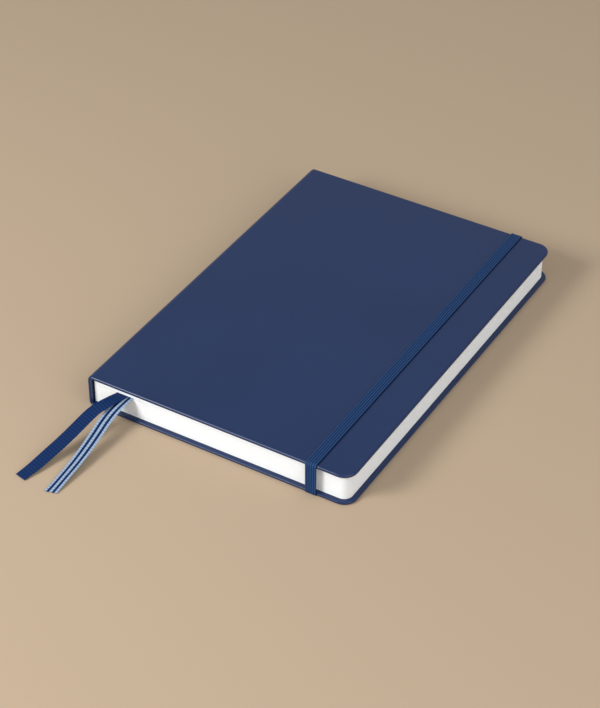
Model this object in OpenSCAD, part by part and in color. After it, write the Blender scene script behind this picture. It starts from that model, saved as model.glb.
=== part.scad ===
// Hardback logbook with rounded fore-edge corners, an elastic closing strap and two marker ribbons.
// +X runs from the spine to the fore-edge, +Y from the tail to the head and +Z up through the closed book.
// The origin is at the centre of the closed book, on the surface that it lies on.

/* [Cover] */
// Height of the cover, from tail to head
cover_h = 212; // [170:1:300]
// Width of the cover, from the spine's outer face to the fore-edge
cover_w = 146.6; // [110:0.2:220]
// Radius of the cover's two corners at the fore-edge
corner_r = 7; // [4:0.5:12]
// Thickness of each cover board
board_t = 1.4; // [1.3:0.1:2.4]
// Thickness of the covering material
skin_t = 0.25; // [0.15:0.05:0.4]
// How far the covering is turned in over the inside of a board
turn_in = 14; // [8:1:20]

/* [Spine] */
// Outer radius where the covering turns from a board into the spine
spine_r = 2.8; // [2.2:0.1:3.4]
// How far the spine stands out past the edges of the boards
spine_bulge = 1.7; // [1.4:0.1:2.0]
// Thickness of the stiff strip inside the spine
strip_t = 1; // [0.6:0.1:1.2]
// Thickness of the paper liner inside the strip
liner_t = 0.2; // [0.1:0.05:0.25]

/* [Pages] */
// Number of sewn sections that stay on the back cover when the book is opened at the ribbons
sections_below = 12; // [8:1:16]
// Number of sewn sections that turn over with the front cover
sections_above = 4; // [2:1:8]
// Leaves in one section
leaves = 8; // [6:1:10]
// Thickness of one leaf
leaf_t = 0.105; // [0.07:0.005:0.12]
// Thickness of the endpapers
endpaper_t = 0.16; // [0.12:0.02:0.24]
// How far the covers stand out past the pages at the head, tail and fore-edge
square = 2.4; // [1.5:0.1:4]
// Room that the ribbons take up between the two groups of sections
ribbon_gap = 0.6; // [0.6:0.1:1.2]
// How far the pastedowns stay back from the cover's edges
pastedown_inset = 3; // [2:0.5:6]

/* [Elastic strap] */
// Width of the strap
strap_w = 6; // [4:0.5:10]
// Thickness of the strap
strap_t = 0.8; // [0.6:0.1:0.9]
// Distance from the fore-edge to the middle of the strap
strap_inset = 20.7; // [14:0.1:40]
// How far the strap runs along the underside of the back cover before it goes in
strap_run = 15; // [8:1:25]
// Length of the strap's glued ends
strap_end = 12; // [8:1:20]

/* [Ribbons] */
// Width of a marker ribbon
ribbon_w = 6.4; // [4:0.2:8]
// Thickness of a marker ribbon
ribbon_t = 0.22; // [0.15:0.01:0.25]

/* [Sewing] */
// Number of sewing stations along the back of the sections
stations = 5; // [3:1:9]
// Diameter of the sewing thread
thread_d = 0.4; // [0.3:0.05:0.5]
// Thickness of the gauze glued to the backs of the sections
mull_t = 0.3; // [0.2:0.05:0.35]
// Width of each flange of the gauze, glued to a board
mull_flange = 24; // [15:1:30]

/* [Hidden] */
$fn = 64;
section_count = sections_above + sections_below;
slack = 0.02;        // between sheets that lie on each other
fit = 0.05;          // between a strap or a thread and the channel that it lies in
eps = 0.01;          // how far a cutter runs past a face
open_gap = 0.5;      // from the edge of a board to where the covering starts to turn
back_offset = 0.5;   // from the edge line of the boards to the backs of the sections
strip_gap = 0.2;     // from the spine's turns to the long edges of its stiff strip
strip_back = 1;      // from the head and tail of the covering to the ends of the stiff strip
flange_t = 0.08;     // thickness of the gauze where it is pressed under a pastedown
mull_margin = 8;     // from the head and tail of the pages to the gauze
kerf_w = 1;          // width of a sewing kerf
kerf_d = 0.6;        // depth of a sewing kerf
kettle_inset = 12;   // from the head and tail of the pages to the outermost kerfs

spine_x = -cover_w / 2;                 // outer face of the spine
edge_x = spine_x + spine_bulge;         // edge line of the boards at the spine
fore_x = cover_w / 2;                   // fore-edge of the covers
panel_x = edge_x + spine_r - spine_bulge; // where the flat of a cover begins
board_x = panel_x + open_gap;
page_x = edge_x + back_offset;          // backs of the sections
page_fore_x = fore_x - square;
page_h = cover_h - 2 * square;
page_r = corner_r - square;

board_top = skin_t + board_t;           // inner face of the back cover
fly_z = board_top + endpaper_t + slack; // underside of the back flyleaf
block_z = fly_z + endpaper_t + slack;   // underside of the lowest section
section_t = leaves * leaf_t;
pitch = section_t + slack;
gap_z = block_z + sections_below * pitch - slack; // underside of the room for the ribbons
above_z = gap_z + ribbon_gap;
book_t = above_z + sections_above * pitch - slack + block_z;

strap_x = fore_x - strap_inset;
strap_z = fit;                          // underside of the strap
channel_t = strap_t + 2 * fit;
channel_w = strap_w + 2 * fit;
slot_y = cover_h / 2 - strap_run;       // inner end of the channel under the back cover
slot_w = strap_t + 2 * fit;

// Each point of a ribbon's route: X, Y, Z and how far the ribbon is banked there, in degrees.
plain_route = [
  [-66.0, 103.0, 12.74, 0], [-64.0, 90.0, 12.74, 0], [-61.0, 70.0, 12.74, 0], [-57.5, 45.0, 12.74, 0],
  [-54.5, 20.0, 12.74, 0], [-52.4, -5.0, 12.74, 0], [-51.2, -30.0, 12.74, 0], [-50.8, -55.0, 12.74, 0],
  [-51.4, -78.0, 12.74, 0], [-52.8, -94.0, 12.74, 0], [-54.4, -103.6, 12.74, 0], [-56.4, -109.0, 12.6, 3],
  [-58.6, -114.0, 11.9, 8], [-60.7, -118.8, 10.7, 12], [-62.0, -124.6, 9.1, 13], [-63.2, -132.4, 7.1, 13],
  [-64.6, -141.1, 5.2, 13], [-66.2, -149.9, 3.5, 12], [-67.7, -157.8, 2.0, 7], [-69.0, -162.7, 1.1, 2],
  [-69.9, -166.5, 0.5, 0]
];
striped_route = [
  [-64.0, 103.0, 12.44, 0], [-61.5, 90.0, 12.44, 0], [-58.0, 70.0, 12.44, 0], [-54.5, 45.0, 12.44, 0],
  [-52.0, 20.0, 12.44, 0], [-50.6, -5.0, 12.44, 0], [-50.0, -30.0, 12.44, 0], [-49.8, -55.0, 12.44, 0],
  [-50.2, -78.0, 12.44, 0], [-51.0, -94.0, 12.44, 0], [-51.6, -103.6, 12.44, 0], [-52.0, -107.0, 12.04, 0],
  [-52.9, -110.9, 10.9, 2], [-53.6, -115.7, 9.4, 4], [-53.6, -121.5, 7.9, 4], [-53.0, -129.3, 6.1, 2],
  [-52.4, -138.0, 4.4, 0], [-52.0, -146.9, 2.9, -4], [-51.9, -155.7, 1.7, -6], [-51.8, -162.6, 0.9, -4],
  [-51.8, -167.5, 0.4, 0]
];
route_steps = 3;     // rings for each stretch between two points of a route

function section_name(i) = str("section_", i < 10 ? "0" : "", i);

// Plan outline of a sheet from x1 to x2, centred on Y, with its two fore-edge corners rounded.
module sheet_plan(x1, x2, h, r) {
  translate([x1, -h / 2]) square([x2 - x1 - r, h]);
  translate([x1, -h / 2 + r]) square([x2 - x1, h - 2 * r]);
  for (side = [-1, 1]) translate([x2 - r, side * (h / 2 - r)]) circle(r);
}

module sheet_solid(x1, x2, h, r, z, t) {
  translate([0, 0, z]) linear_extrude(t) sheet_plan(x1, x2, h, r);
}

// What stands on the back cover, turned over to make the front one.
module front_side() {
  translate([0, 0, book_t]) mirror([0, 0, 1]) children();
}

// A pair of copies, at the head and at the tail.
module head_and_tail() {
  children();
  mirror([0, 1, 0]) children();
}

// A bar across the width of the strap, from y1 to y2 and from z1 to z2.
module strap_bar(w, y1, y2, z1, z2) {
  translate([strap_x - w / 2, y1, z1]) cube([w, y2 - y1, z2 - z1]);
}

// The channel under the back cover and the pocket inside it, joined by a slot.
module strap_channel(grow) {
  head_and_tail() strap_bar(channel_w + 2 * grow, slot_y - grow, cover_h / 2 + eps, -eps, channel_t + grow);
}

module strap_pocket() {
  head_and_tail() strap_bar(
    channel_w, slot_y - strap_end - fit, slot_y + slot_w, channel_t - fit - eps, board_top + eps
  );
}

// A cover board: full thickness in the middle, thinner where the covering is turned in over it.
module board_solid() {
  h = cover_h - 2 * skin_t;
  r = corner_r - skin_t;
  sheet_solid(board_x, fore_x - skin_t, h, r, skin_t, board_t - skin_t);
  translate([board_x, -cover_h / 2 + turn_in, skin_t])
    cube([fore_x - turn_in - board_x, cover_h - 2 * turn_in, board_t]);
}

module back_board_solid() {
  difference() {
    board_solid();
    strap_channel(skin_t);
    strap_pocket();
  }
}

// The covering of the board that is given as its child, with its turned-in edges.
module skin_panel() {
  difference() {
    sheet_solid(panel_x, fore_x, cover_h, corner_r, 0, board_top);
    children();
    translate([panel_x - eps, -cover_h / 2 + turn_in, skin_t])
      cube([board_x - panel_x + 2 * eps, cover_h - 2 * turn_in, board_t + eps]);
  }
}

// The stretch of covering that bends between a board and the spine.
module joint_skin() {
  translate([panel_x, 0, spine_r]) rotate([90, 0, 0]) linear_extrude(cover_h, center = true) difference() {
    circle(spine_r);
    circle(spine_r - skin_t);
    translate([0, -spine_r - eps]) square([spine_r + eps, 2 * (spine_r + eps)]);
    translate([-spine_r - eps, 0]) square([2 * (spine_r + eps), spine_r + eps]);
  }
}

// An endpaper: the pastedown on the board and the flyleaf, joined by their fold.
module endpaper() {
  inset = pastedown_inset;
  difference() {
    sheet_solid(page_x, fore_x - inset, cover_h - 2 * inset, corner_r - inset, board_top, endpaper_t);
    translate([page_x - eps, -page_h / 2 + mull_margin - fit, board_top - eps])
      cube([mull_flange + fit + 2 * eps, page_h - 2 * mull_margin + 2 * fit, flange_t + eps]);
  }
  sheet_solid(page_x, page_fore_x, page_h, page_r, fly_z, endpaper_t);
  translate([page_x, -page_h / 2, board_top + flange_t])
    cube([endpaper_t, page_h, fly_z + endpaper_t - board_top - flange_t]);
}

function station_y(k) = (page_h / 2 - kettle_inset) * (2 * k / (stations - 1) - 1);

// One folded and sewn section of leaves, with its round fold at the spine.
module section_solid(z) {
  r = section_t / 2;
  difference() {
    intersection() {
      sheet_solid(page_x, page_fore_x, page_h, page_r, z, section_t);
      translate([page_x, 0, z]) rotate([90, 0, 0]) linear_extrude(page_h, center = true) {
        translate([r, 0]) square([page_fore_x - page_x - r, section_t]);
        translate([r, r]) circle(r);
      }
    }
    for (k = [0:stations - 1]) translate([page_x - eps, station_y(k) - kerf_w / 2, z - eps])
      cube([kerf_d + eps, kerf_w, section_t + 2 * eps]);
  }
}

// Sections are numbered from the front of the book.
function section_z(i) = i <= sections_above
  ? above_z + (sections_above - i) * pitch
  : block_z + (section_count - i) * pitch;

// A smooth curve through a route's points.
function smooth(a, b, c, d, t) =
  0.5 * (2 * b + (c - a) * t + (2 * a - 5 * b + 4 * c - d) * t * t + (3 * b - a - 3 * c + d) * t * t * t);
function route_point(route, i) = route[max(0, min(len(route) - 1, i))];
function along(route) = concat(
  [for (i = [0:len(route) - 2], s = [0:route_steps - 1]) smooth(
    route_point(route, i - 1), route[i], route[i + 1], route_point(route, i + 2), s / route_steps
  )],
  [route[len(route) - 1]]
);
function place(p) = [p[0], p[1], p[2]];
function unit(v) = v / norm(v);

// The four corners of a ribbon at one ring of its route.
function ribbon_ring(line, i) =
  let (
    ahead = unit(place(line[min(i + 1, len(line) - 1)]) - place(line[max(i - 1, 0)])),
    level = unit(cross(ahead, [0, 0, 1])),
    up = cross(level, ahead),
    side = cos(line[i][3]) * level + sin(line[i][3]) * up,
    face = cross(side, ahead)
  )
  [for (c = [[-1, -1], [1, -1], [1, 1], [-1, 1]])
    place(line[i]) + c[0] * ribbon_w / 2 * side + c[1] * ribbon_t / 2 * face];

module ribbon(route) {
  line = along(route);
  last = len(line) - 1;
  polyhedron(
    points = [for (i = [0:last]) each ribbon_ring(line, i)],
    faces = concat(
      [[3, 2, 1, 0]],
      [for (i = [0:last - 1], k = [0:3]) [4 * i + k, 4 * i + (k + 1) % 4, 4 * i + 4 + (k + 1) % 4, 4 * i + 4 + k]],
      [[4 * last, 4 * last + 1, 4 * last + 2, 4 * last + 3]]
    )
  );
}

module back_board() {
  color("tan") back_board_solid();
}

module cover_skin_back() {
  color("#33415f") difference() {
    skin_panel() back_board_solid();
    strap_channel(0);
    strap_pocket();
  }
}

module joint_skin_back() {
  color("#2d3a56") joint_skin();
}

module back_endpaper() {
  color("ivory") endpaper();
}

module strap_ends() {
  color("#1c3560") head_and_tail() strap_bar(
    strap_w, slot_y - strap_end, slot_y + slot_w - fit, strap_z + strap_t, board_top - fit
  );
}

module spine_strip() {
  color("burlywood") translate([spine_x + skin_t, -cover_h / 2 + strip_back, spine_r + strip_gap])
    cube([strip_t, cover_h - 2 * strip_back, book_t - 2 * (spine_r + strip_gap)]);
}

module spine_liner() {
  color("wheat") translate([spine_x + skin_t + strip_t, -page_h / 2, spine_r + strip_gap])
    cube([liner_t, page_h, book_t - 2 * (spine_r + strip_gap)]);
}

module cover_skin_spine() {
  color("#33415f") translate([spine_x, -cover_h / 2, spine_r])
    cube([skin_t, cover_h, book_t - 2 * spine_r]);
}

module front_board() {
  color("tan") front_side() board_solid();
}

module cover_skin_front() {
  color("#33415f") front_side() skin_panel() board_solid();
}

module joint_skin_front() {
  color("#2d3a56") front_side() joint_skin();
}

module front_endpaper() {
  color("ivory") front_side() endpaper();
}

module section(i) {
  color("white") section_solid(section_z(i));
}

module mull() {
  h = page_h - 2 * mull_margin;
  x = page_x - mull_t;
  color("gainsboro") {
    translate([x, -h / 2, board_top]) cube([mull_t, h, book_t - 2 * board_top]);
    for (z = [board_top, book_t - board_top - flange_t])
      translate([x, -h / 2, z]) cube([mull_t + mull_flange, h, flange_t]);
  }
}

module sewing_thread() {
  color("snow") for (k = [0:stations - 1])
    translate([page_x + kerf_d / 2, station_y(k), block_z]) cylinder(d = thread_d, h = book_t - 2 * block_z);
}

module elastic_strap() {
  reach = cover_h / 2 + fit;
  top = book_t + fit;
  color("#1f4374") {
    strap_bar(strap_w, -reach - strap_t, reach + strap_t, top, top + strap_t);
    head_and_tail() {
      strap_bar(strap_w, reach, reach + strap_t, strap_z, top);
      strap_bar(strap_w, slot_y + fit, reach, strap_z, strap_z + strap_t);
    }
  }
}

module ribbon_plain() {
  color("#15396a") ribbon(plain_route);
}

module ribbon_striped() {
  color("#7f9cc4") ribbon(striped_route);
}

back_board();
cover_skin_back();
joint_skin_back();
back_endpaper();
strap_ends();
spine_strip();
spine_liner();
cover_skin_spine();
front_board();
cover_skin_front();
joint_skin_front();
front_endpaper();
for (i = [1:section_count]) section(i);
mull();
sewing_thread();
elastic_strap();
ribbon_plain();
ribbon_striped();
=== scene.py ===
"""Hardback logbook: its covering, boards, sewn leaves, gauze, strap and ribbons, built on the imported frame."""
import math

import bmesh
import bpy
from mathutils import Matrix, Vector


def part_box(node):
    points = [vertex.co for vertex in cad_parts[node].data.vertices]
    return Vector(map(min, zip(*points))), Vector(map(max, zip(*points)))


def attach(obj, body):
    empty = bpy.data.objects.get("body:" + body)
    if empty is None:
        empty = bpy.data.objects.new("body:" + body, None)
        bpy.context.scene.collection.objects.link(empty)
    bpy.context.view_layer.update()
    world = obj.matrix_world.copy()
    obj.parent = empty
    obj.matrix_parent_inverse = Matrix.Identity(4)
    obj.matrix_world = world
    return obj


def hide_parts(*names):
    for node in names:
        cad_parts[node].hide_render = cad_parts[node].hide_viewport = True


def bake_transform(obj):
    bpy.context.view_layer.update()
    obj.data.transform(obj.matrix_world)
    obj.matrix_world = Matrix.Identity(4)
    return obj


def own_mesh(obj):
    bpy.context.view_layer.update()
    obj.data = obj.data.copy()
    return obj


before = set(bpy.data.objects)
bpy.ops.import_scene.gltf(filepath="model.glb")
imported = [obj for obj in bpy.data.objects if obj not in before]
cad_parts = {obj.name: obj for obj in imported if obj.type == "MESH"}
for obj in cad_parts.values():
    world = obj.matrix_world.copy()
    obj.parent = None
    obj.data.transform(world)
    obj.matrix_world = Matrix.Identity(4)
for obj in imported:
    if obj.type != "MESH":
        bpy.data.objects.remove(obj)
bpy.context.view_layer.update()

bl_info = {
    "name": "Hardback Logbook",
    "version": (1, 0, 0),
    "blender": (4, 5, 0),
    "location": "3D View > Sidebar > Logbook",
    "description": "Builds a sewn hardback logbook with an elastic strap and marker ribbons",
    "category": "Object",
}

MM = 0.001

# Sizes and places that come from the frame, in metres.
back_low, back_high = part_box("cover_skin_back")
_, front_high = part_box("cover_skin_front")
spine_low, spine_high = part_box("cover_skin_spine")
board_low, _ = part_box("back_board")
strap_low, strap_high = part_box("elastic_strap")
page_low, page_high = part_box("section_16")
above_low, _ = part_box("section_04")
_, below_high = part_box("section_05")
gauze_low, gauze_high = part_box("mull")
thread_low, thread_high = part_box("sewing_thread")

HALF_H = back_high.y                      # half the cover's height, tail to head
FORE_X = back_high.x                      # fore-edge of the covers
PANEL_X = back_low.x                      # where the flat of a cover begins
BOARD_X = board_low.x                     # spine-side edge of the boards
BOARD_TOP = back_high.z                   # thickness of a cover
SPINE_X = spine_low.x                     # outer face of the spine
SPINE_R = spine_low.z                     # radius of the turn into the spine
SKIN_T = spine_high.x - spine_low.x       # thickness of the leatherette
BOOK_T = front_high.z                     # thickness of the closed book
STRAP_FIT = strap_low.z                   # room round the strap
STRAP_T = strap_high.z - BOOK_T - STRAP_FIT
STRAP_X = (strap_low.x + strap_high.x) / 2
STRAP_W = strap_high.x - strap_low.x
PAGE_X = page_low.x                       # backs of the sections
PAGE_FORE_X = page_high.x
PAGE_HALF_H = page_high.y
SECTIONS = sorted(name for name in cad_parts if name.startswith("section_"))
SECTIONS_ABOVE = 4                        # sections that turn over with the front cover
STATIONS = 5                              # sewing stations along the back of a section

MERGE = 1e-7                              # points closer than this are one point
BETWEEN = 0.02 * MM                       # room left between pieces that lie on each other


def linear(code):
    """The linear colour of an sRGB hex value."""
    parts = [int(code[i:i + 2], 16) / 255 for i in (1, 3, 5)]
    return [c / 12.92 if c <= 0.04045 else ((c + 0.055) / 1.055) ** 2.4 for c in parts]


def colour_prop(name, description, code):
    return bpy.props.FloatVectorProperty(
        name=name, description=description, subtype="COLOR", size=3, min=0, max=1, default=linear(code)
    )


def length_prop(name, description, millimetres):
    return bpy.props.FloatProperty(
        name=name, description=description, default=millimetres * MM, min=0, unit="LENGTH", precision=5
    )


class LogbookSizes(bpy.types.PropertyGroup):
    """Sizes that the frame leaves open."""

    corner_round: length_prop("Corner radius", "Radius of the covers' fore-edge corners", 7)
    page_round: length_prop("Page corner radius", "Radius of the leaves' fore-edge corners", 4.6)
    outer_round: length_prop("Outer edge radius", "Rounding of the covers' outer edges", 0.8)
    inner_round: length_prop("Inner edge radius", "Rounding of the covers' inner edges", 0.4)
    turn_in: length_prop("Turn-in", "How far the leatherette is turned in over a board", 14)
    joint_depth: length_prop(
        "Joint thickness", "Thickness of the turned-in leatherette between board and spine", 1.2
    )
    spine_depth: length_prop("Spine thickness", "Thickness of the covered spine", 1.5)
    channel_run: length_prop("Strap channel", "Length of the strap's channel under the back cover", 15)
    channel_depth: length_prop("Channel depth", "Depth of the strap's channel", 0.9)
    gauze_t: length_prop("Gauze thickness", "Thickness of the gauze behind the sections", 0.1)
    trim_wander: length_prop("Trim wander", "How far the trimmed edges of the leaves wander", 0.07)
    rib_pitch: length_prop("Rib pitch", "Distance from one rib of a ribbon to the next", 1.65)
    rib_depth: length_prop("Rib depth", "How far a rib stands out of a ribbon", 0.035)
    cord_depth: length_prop("Cord depth", "How far the strap's cords stand out", 0.16)
    ribbon_w: length_prop("Ribbon width", "Width of a marker ribbon", 6.4)
    ribbon_t: length_prop("Ribbon thickness", "Thickness of a marker ribbon", 0.22)
    sheets: bpy.props.IntProperty(name="Sheets", description="Folded sheets in one section", default=4, min=1)
    cords: bpy.props.IntProperty(name="Cords", description="Raised cords along the strap", default=5, min=1)


class LogbookColours(bpy.types.PropertyGroup):
    """Colours of the logbook's finishes."""

    leatherette: colour_prop("Leatherette", "Colour of the covering", "#0f2c5a")
    leatherette_low: colour_prop("Leatherette, in the grain", "Colour deep in the covering's grain", "#0c2650")
    board: colour_prop("Board", "Colour of the cover boards", "#b39a78")
    page: colour_prop("Page", "Colour of the leaves", "#f3f6f8")
    ruling: colour_prop("Ruling", "Colour of the printed lines on the pages", "#8fa6b8")
    endpaper: colour_prop("Endpaper", "Colour of the endpapers", "#eceae2")
    liner: colour_prop("Liner", "Colour of the spine's paper liner", "#c9b490")
    gauze: colour_prop("Gauze", "Colour of the gauze on the backs of the sections", "#dcd9cf")
    thread: colour_prop("Thread", "Colour of the sewing thread", "#f0eee6")
    elastic: colour_prop("Elastic", "Colour of the strap's cords", "#1c4a80")
    # Painted shade between the strap's cords.
    elastic_painted_shade: colour_prop("Elastic, between cords", "Colour between the strap's cords", "#0a2044")
    ribbon_navy: colour_prop("Plain ribbon", "Colour of the plain ribbon", "#082f62")
    # Painted shade between the plain ribbon's ribs.
    ribbon_navy_painted_shade: colour_prop("Plain ribbon, between ribs", "Colour between the plain ribbon's ribs", "#03204a")
    ribbon_pale: colour_prop("Pale stripe", "Colour of the striped ribbon's pale stripes", "#9db5d0")
    ribbon_dark: colour_prop("Dark stripe", "Colour of the striped ribbon's dark stripes", "#06265a")
    floor: colour_prop("Floor", "Colour of the floor", "#bba58b")


class LogbookStage(bpy.types.PropertyGroup):
    """Where the camera stands and how bright the lights are."""

    azimuth: bpy.props.FloatProperty(
        name="Azimuth", description="How far the camera stands round from the tail towards the fore-edge",
        default=math.radians(30.94), unit="ROTATION",
    )
    elevation: bpy.props.FloatProperty(
        name="Elevation", description="How far the camera stands above the floor",
        default=math.radians(38.40), unit="ROTATION",
    )
    distance: bpy.props.FloatProperty(
        name="Distance", description="From the camera to the point that it looks at",
        default=1.0573, unit="LENGTH",
    )
    aim: bpy.props.FloatVectorProperty(
        name="Aim", description="Point that the camera looks at", default=(0.0005, -0.0290, 0.00936), unit="LENGTH",
    )
    lens: bpy.props.FloatProperty(name="Lens", description="Focal length in millimetres", default=108.4)
    key: bpy.props.FloatProperty(name="Key light", description="Power of the key light, in watts", default=13)
    fill: bpy.props.FloatProperty(name="Fill light", description="Power of the fill light, in watts", default=11)
    sky: bpy.props.FloatProperty(name="Room light", description="Strength of the light all round", default=0.45)


def in_use(node):
    """The first output that a node has in use."""
    return next(socket for socket in node.outputs if socket.enabled)


def add(tree, kind, inputs=(), to=None, **settings):
    """Adds a node, and links its first output in use to a socket, if one is given.

    Each input is named or numbered, and takes a value, a socket or the first output in use of another node."""
    made = tree.nodes.new(kind)
    for name, value in settings.items():
        setattr(made, name, value)
    for key, value in inputs.items() if isinstance(inputs, dict) else enumerate(inputs):
        if isinstance(value, bpy.types.Node):
            value = in_use(value)
        if isinstance(value, bpy.types.NodeSocket):
            tree.links.new(value, made.inputs[key])
        else:
            made.inputs[key].default_value = value
    if to:
        tree.links.new(in_use(made), to)
    return made


# Materials


def finish(name, roughness, colour, **uniform):
    """A new material, its tree and its Principled shader. Uniform values are set on the shader's own sockets."""
    material = bpy.data.materials.new(name)
    material.use_nodes = True
    tree = material.node_tree
    shader = tree.nodes["Principled BSDF"]
    shader.inputs["Base Color"].default_value = (*colour, 1)
    shader.inputs["Roughness"].default_value = roughness
    for socket, value in uniform.items():
        shader.inputs[socket.replace("_", " ")].default_value = value
    return material, tree, shader


def surface(tree, shader, tone, low, high, height, depth, strength=1.0):
    """Colours a surface from low to high by a tone from 0 to 1, and raises it by a height from 0 to 1.

    The depth is the real distance, in metres, that a height of 1 stands for."""
    colour = add(
        tree, "ShaderNodeMix", {"Factor": tone, "A": (*low, 1), "B": (*high, 1)},
        shader.inputs["Base Color"], data_type="RGBA",
    )
    add(
        tree, "ShaderNodeBump", {"Height": height, "Distance": depth, "Strength": strength},
        shader.inputs["Normal"],
    )
    return colour


def leatherette(colours):
    """Leatherette: PU film on cloth, embossed with a fine grain. It is a smooth navy with a soft, wide gloss."""
    material, tree, shader = finish("embossed_leatherette", 0.32, colours.leatherette)
    place = add(tree, "ShaderNodeTexCoord").outputs["Object"]
    pebble = add(tree, "ShaderNodeTexVoronoi", {"Vector": place, "Scale": 1 / (0.5 * MM)}, feature="SMOOTH_F1")
    fibre = add(tree, "ShaderNodeTexNoise", {"Vector": place, "Scale": 1 / (1.5 * MM), "Detail": 4})
    patches = add(tree, "ShaderNodeTexNoise", {"Vector": place, "Scale": 1 / (60 * MM), "Detail": 2})
    grain = add(tree, "ShaderNodeMath", (pebble, fibre), operation="MULTIPLY")
    tone = add(tree, "ShaderNodeMath", (fibre, patches), operation="ADD")
    tone = add(tree, "ShaderNodeMapRange", {"Value": tone, "From Min": 0.6, "From Max": 1.4})
    add(
        tree, "ShaderNodeMapRange", {"Value": patches, "To Min": 0.29, "To Max": 0.35},
        shader.inputs["Roughness"],
    )
    surface(tree, shader, tone, colours.leatherette_low, colours.leatherette, grain, 0.02 * MM, 0.5)
    return material


def board_stock(colours):
    """Binder's board: pressed waste paper, dull and flecked."""
    material, tree, shader = finish("binders_board", 0.85, colours.board)
    place = add(tree, "ShaderNodeTexCoord").outputs["Object"]
    flecks = add(tree, "ShaderNodeTexNoise", {"Vector": place, "Scale": 1 / (0.8 * MM), "Detail": 6})
    surface(tree, shader, flecks, [c * 0.75 for c in colours.board], colours.board, flecks, 0.05 * MM)
    return material


def paper_fibre(tree, shader, colour):
    """Uncoated paper: matt, with a faint cloudiness and a fine tooth. Gives back the node with its colour."""
    place = add(tree, "ShaderNodeTexCoord").outputs["Object"]
    cloud = add(tree, "ShaderNodeTexNoise", {"Vector": place, "Scale": 1 / (4 * MM), "Detail": 5})
    tooth = add(tree, "ShaderNodeTexNoise", {"Vector": place, "Scale": 1 / (0.25 * MM), "Detail": 3})
    return surface(tree, shader, cloud, [c * 0.96 for c in colour], colour, tooth, 0.01 * MM)


# The print on a page, in millimetres. Lines: the spacing, and the first and last places for one.
ROWS = (6.5, -92, 84)
COLUMNS = (16, -58, 60)
PRINTED_WIDTH = (-62, 64)
PRINTED_HEIGHT = (-95, 92)
HALF_LINE = 0.09


def page_paper(colours):
    """White writing paper, printed with rows and columns where a page's "printed" attribute is 1."""
    material, tree, shader = finish("writing_paper", 0.8, colours.page)
    ground = paper_fibre(tree, shader, colours.page)
    x, y, _ = add(tree, "ShaderNodeSeparateXYZ", [add(tree, "ShaderNodeTexCoord").outputs["Object"]]).outputs

    def within(along, first, last):
        """1 from the first to the last place along the page, and 0 outside them."""
        inside = add(tree, "ShaderNodeMath", (along, first * MM), operation="GREATER_THAN")
        before = add(tree, "ShaderNodeMath", (along, last * MM), operation="LESS_THAN")
        return add(tree, "ShaderNodeMath", (inside, before), operation="MULTIPLY")

    lines = []
    for along, (spacing, first, last) in ((y, ROWS), (x, COLUMNS)):
        near = add(tree, "ShaderNodeMath", (along, spacing * MM), operation="PINGPONG")
        line = add(tree, "ShaderNodeMath", (near, HALF_LINE * MM), operation="LESS_THAN")
        lines.append(add(tree, "ShaderNodeMath", (line, within(along, first, last)), operation="MULTIPLY"))
    ink = add(tree, "ShaderNodeMath", lines, operation="MAXIMUM")
    printed = add(tree, "ShaderNodeAttribute", attribute_name="printed").outputs["Fac"]
    for area in (within(x, *PRINTED_WIDTH), within(y, *PRINTED_HEIGHT), printed):
        ink = add(tree, "ShaderNodeMath", (ink, area), operation="MULTIPLY")
    add(
        tree, "ShaderNodeMix", {"Factor": ink, "A": ground, "B": (*colours.ruling, 1)},
        shader.inputs["Base Color"], data_type="RGBA",
    )
    return material


def plain_paper(name, colour):
    """Uncoated paper without print, for endpapers and the spine's liner."""
    material, tree, shader = finish(name, 0.8, colour)
    paper_fibre(tree, shader, colour)
    return material


def gauze_cloth(colours):
    """Mull: open cotton weave set in glue, a thread every 1.2 mm each way."""
    half_pitch = 0.6 * MM
    material, tree, shader = finish("glued_mull", 0.7, colours.gauze)
    place = add(tree, "ShaderNodeTexCoord").outputs["Object"]
    _, *ways = add(tree, "ShaderNodeSeparateXYZ", [place]).outputs
    threads = [add(tree, "ShaderNodeMath", (along, half_pitch), operation="PINGPONG") for along in ways]
    weave = add(tree, "ShaderNodeMath", threads, operation="MAXIMUM")
    weave = add(tree, "ShaderNodeMapRange", {"Value": weave, "From Max": half_pitch})
    surface(tree, shader, weave, [c * 0.7 for c in colours.gauze], colours.gauze, weave, 0.1 * MM)
    return material


def linen_thread(colours):
    """Waxed linen thread, twisted: matt and off-white."""
    material, tree, shader = finish("linen_thread", 0.6, colours.thread)
    place = add(tree, "ShaderNodeTexCoord").outputs["Object"]
    wave = add(
        tree, "ShaderNodeTexWave", {"Vector": place, "Scale": 1 / (1.2 * MM)}, bands_direction="DIAGONAL"
    )
    twist = wave.outputs[1]
    surface(tree, shader, twist, [c * 0.8 for c in colours.thread], colours.thread, twist, 0.03 * MM)
    return material


def waves(tree, attribute, pitch, phase=0.0):
    """A wave from 0 to 1 that repeats every pitch metres along a named attribute."""
    place = add(tree, "ShaderNodeAttribute", attribute_name=attribute).outputs["Fac"]
    angle = add(tree, "ShaderNodeMath", (place, 2 * math.pi / pitch, phase), operation="MULTIPLY_ADD")
    wave = add(tree, "ShaderNodeMath", [angle], operation="COSINE")
    return add(tree, "ShaderNodeMath", (wave, 0.5, 0.5), operation="MULTIPLY_ADD")


def elastic_band(sizes, colours):
    """Braided elastic: matt polyester yarn round rubber cords, with painted shade making it darker between the
    cords.
    """
    material, tree, shader = finish("braided_elastic", 0.6, colours.elastic, Specular_IOR_Level=0.25)
    # Painted shade: the colour darkens between the cords and is lightest on them.
    cord_shade_wave = waves(tree, "across", STRAP_W / sizes.cords, math.pi * (sizes.cords + 1))
    braid = waves(tree, "along", 0.6 * MM)
    tone = add(tree, "ShaderNodeMath", (cord_shade_wave, 1.6), operation="POWER")
    surface(tree, shader, tone, colours.elastic_painted_shade, colours.elastic, braid, 0.05 * MM)
    return material


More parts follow.
